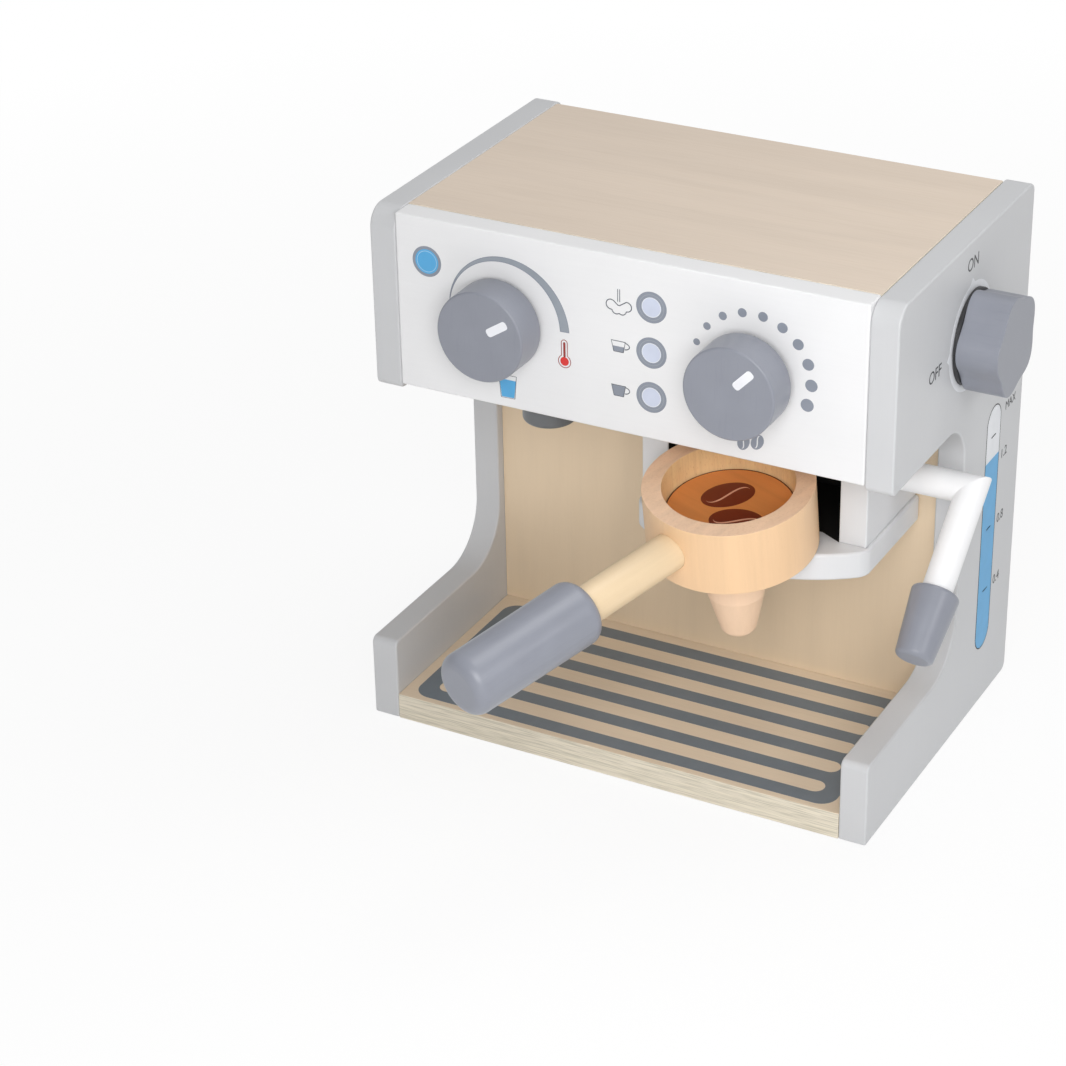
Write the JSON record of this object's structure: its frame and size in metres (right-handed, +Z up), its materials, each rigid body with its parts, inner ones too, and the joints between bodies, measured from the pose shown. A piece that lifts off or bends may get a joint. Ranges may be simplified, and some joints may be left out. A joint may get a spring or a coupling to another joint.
{
  "type": "toy coffee maker",
  "caption": "Wooden toy espresso machine with turning dials, a side power knob, a swivelling steam wand and a portafilter that slides and turns in the brew group.",
  "frame": {"origin": "centre of the case's footprint, on the surface that the toy stands on", "axes": "+X to the right seen from the front, +Y to the back, +Z up"},
  "size_m": [0.2514, 0.2727, 0.23],
  "materials": {
    "painted_wood_grey": "satin paint on plywood",
    "painted_wood_white": "satin paint on plywood",
    "lacquered_wood_grey": "satin lacquer on turned beech",
    "lacquered_wood_dark_grey": "satin lacquer on turned beech",
    "painted_wood_black": "matt paint on plywood",
    "painted_wood_brown": "satin paint on wood",
    "birch_plywood": "clear varnish",
    "beech": "clear varnish",
    "rubber_black": "matt",
    "zinc_steel": "zinc plated"
  },
  "bodies": {
    "case": {"left_side_panel": "painted_wood_grey", "right_side_panel": "painted_wood_grey", "base_board": "birch_plywood", "top_panel": "birch_plywood", "front_panel": "painted_wood_white", "back_panel": "birch_plywood", "rear_panel": "birch_plywood", "head_floor": "birch_plywood", "case_dowels": "beech", "group_cheek_left": "painted_wood_grey", "group_cheek_right": "painted_wood_grey", "group_back_block": "painted_wood_black", "group_plate": "painted_wood_grey", "group_screws": "zinc_steel", "plate_screws": "zinc_steel", "hot_water_outlet": "lacquered_wood_dark_grey", "outlet_screw": "zinc_steel"},
    "left_dial": {"left_dial": "lacquered_wood_grey", "left_dial_axle": "beech", "left_dial_washer": "zinc_steel", "left_dial_screw": "zinc_steel"},
    "right_dial": {"right_dial": "lacquered_wood_grey", "right_dial_axle": "beech", "right_dial_washer": "zinc_steel", "right_dial_screw": "zinc_steel"},
    "power_knob": {"power_knob": "lacquered_wood_grey", "power_knob_spacer": "rubber_black", "power_knob_axle": "beech", "power_knob_washer": "zinc_steel", "power_knob_screw": "zinc_steel"},
    "wand": {"wand_arm": "painted_wood_white", "wand_leg": "painted_wood_white", "wand_tip": "lacquered_wood_grey", "wand_screw": "zinc_steel"},
    "spout": {"portafilter_spout": "beech"},
    "portafilter": {"portafilter_cup": "beech", "coffee_disc": "painted_wood_brown", "handle_dowel": "beech", "handle_grip": "lacquered_wood_grey"}
  },
  "joints": [
    {"name": "left_dial_turn", "type": "hinge", "parent": "case", "child": "left_dial", "pos_m": [-0.055, -0.0645, 0.192], "axis": [0, 1, 0], "continuous": true},
    {"name": "right_dial_turn", "type": "hinge", "parent": "case", "child": "right_dial", "pos_m": [0.055, -0.0645, 0.192], "axis": [0, 1, 0], "continuous": true},
    {"name": "power_knob_turn", "type": "hinge", "parent": "case", "child": "power_knob", "pos_m": [0.115, 0.012, 0.1885], "axis": [1, 0, 0], "continuous": true},
    {"name": "wand_swing", "type": "hinge", "parent": "case", "child": "wand", "pos_m": [0.093, -0.009, 0.1323], "axis": [-1, 0, 0], "range_deg": [-168.5, 114.5]},
    {"name": "portafilter_slide", "type": "slide", "parent": "case", "child": "spout", "axis": [0, -0.9863, -0.165], "range_m": [-0.024, 0.04]},
    {"name": "portafilter_twist", "type": "hinge", "parent": "spout", "child": "portafilter", "pos_m": [0.043, -0.0537, 0.11058], "axis": [0, -0.165, 0.9863], "range_deg": [-25.5, 64.5]}
  ]
}
